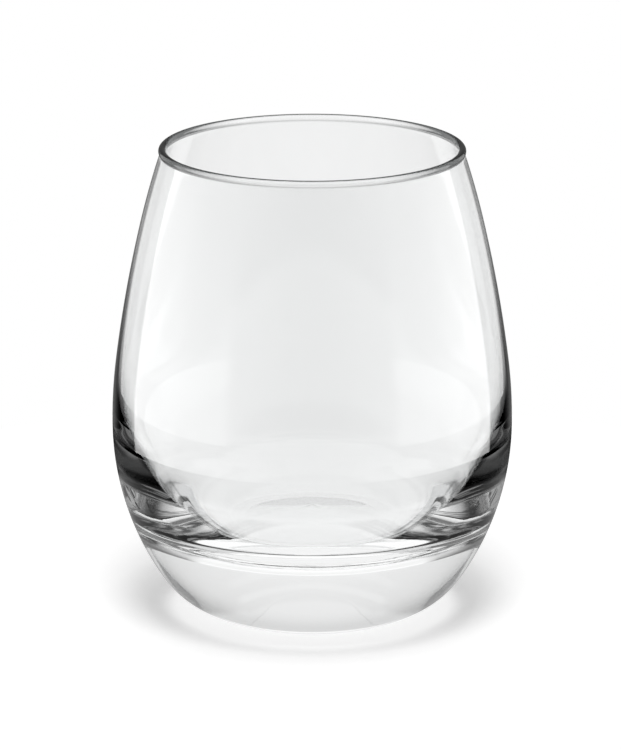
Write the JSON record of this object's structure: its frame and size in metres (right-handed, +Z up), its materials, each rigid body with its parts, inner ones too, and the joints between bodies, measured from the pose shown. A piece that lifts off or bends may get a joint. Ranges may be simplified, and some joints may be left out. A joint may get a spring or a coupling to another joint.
{
  "type": "stemless wine glass",
  "caption": "Clear stemless wine glass with a rounded belly, narrowing mouth, fire-polished rim bead and thick clear base, for holding and serving a drink.",
  "frame": {"origin": "centre of the foot ring, on the surface that the glass stands on", "axes": "+Z up along the axis of the glass, out of its mouth; the glass is round, so X and Y are any two directions square to it"},
  "size_m": [0.084, 0.084, 0.0994],
  "materials": {
    "clear_glass": "clear colourless soda-lime glass, fire-polished"
  },
  "bodies": {
    "root": {"stemless_glass": "clear_glass"}
  },
  "joints": []
}
